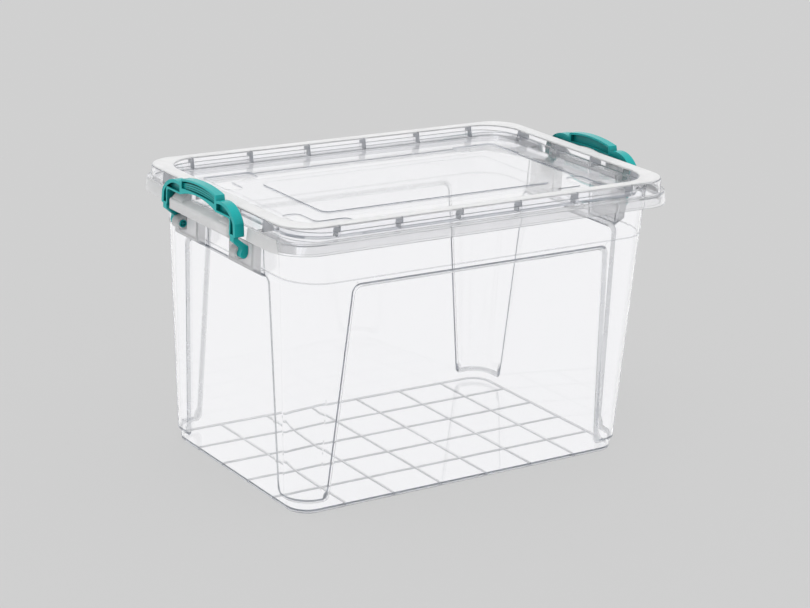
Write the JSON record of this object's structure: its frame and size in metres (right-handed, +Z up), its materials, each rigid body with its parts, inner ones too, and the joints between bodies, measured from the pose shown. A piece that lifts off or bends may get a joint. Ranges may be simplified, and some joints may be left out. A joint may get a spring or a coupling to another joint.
{
  "type": "clear storage box",
  "caption": "Clear moulded storage box with a recessed stacking lid held down by swinging clip handles at its ends.",
  "frame": {"origin": "middle of the box's footprint, on the plane that the ribs under its floor stand on", "axes": "+X along the box's length towards the right clip, +Y towards the back long side, +Z up"},
  "size_m": [0.486, 0.3044, 0.3065],
  "materials": {
    "clear_polypropylene": "natural translucent polypropylene, smooth moulded gloss",
    "teal_polypropylene": "teal polypropylene, smooth moulded satin gloss"
  },
  "bodies": {
    "box": {"box_body": "clear_polypropylene"},
    "lid": {"lid": "clear_polypropylene"},
    "clip_left": {"clip_left": "teal_polypropylene"},
    "clip_right": {"clip_right": "teal_polypropylene"}
  },
  "joints": [
    {"name": "lid_lift", "type": "slide", "parent": "box", "child": "lid", "axis": [0, 0, 1], "range_m": [0, 0.03]},
    {"name": "clip_left_swing", "type": "hinge", "parent": "box", "child": "clip_left", "pos_m": [-0.2305, 0, 0.2525], "axis": [0, -1, 0], "range_deg": [0, 150]},
    {"name": "clip_right_swing", "type": "hinge", "parent": "box", "child": "clip_right", "pos_m": [0.2305, 0, 0.2525], "axis": [0, 1, 0], "range_deg": [0, 150]}
  ],
  "couplings": [
    {"joint": "clip_left_swing", "follows": "lid_lift", "rad_per_m": 87.26},
    {"joint": "clip_right_swing", "follows": "lid_lift", "rad_per_m": 87.26}
  ]
}
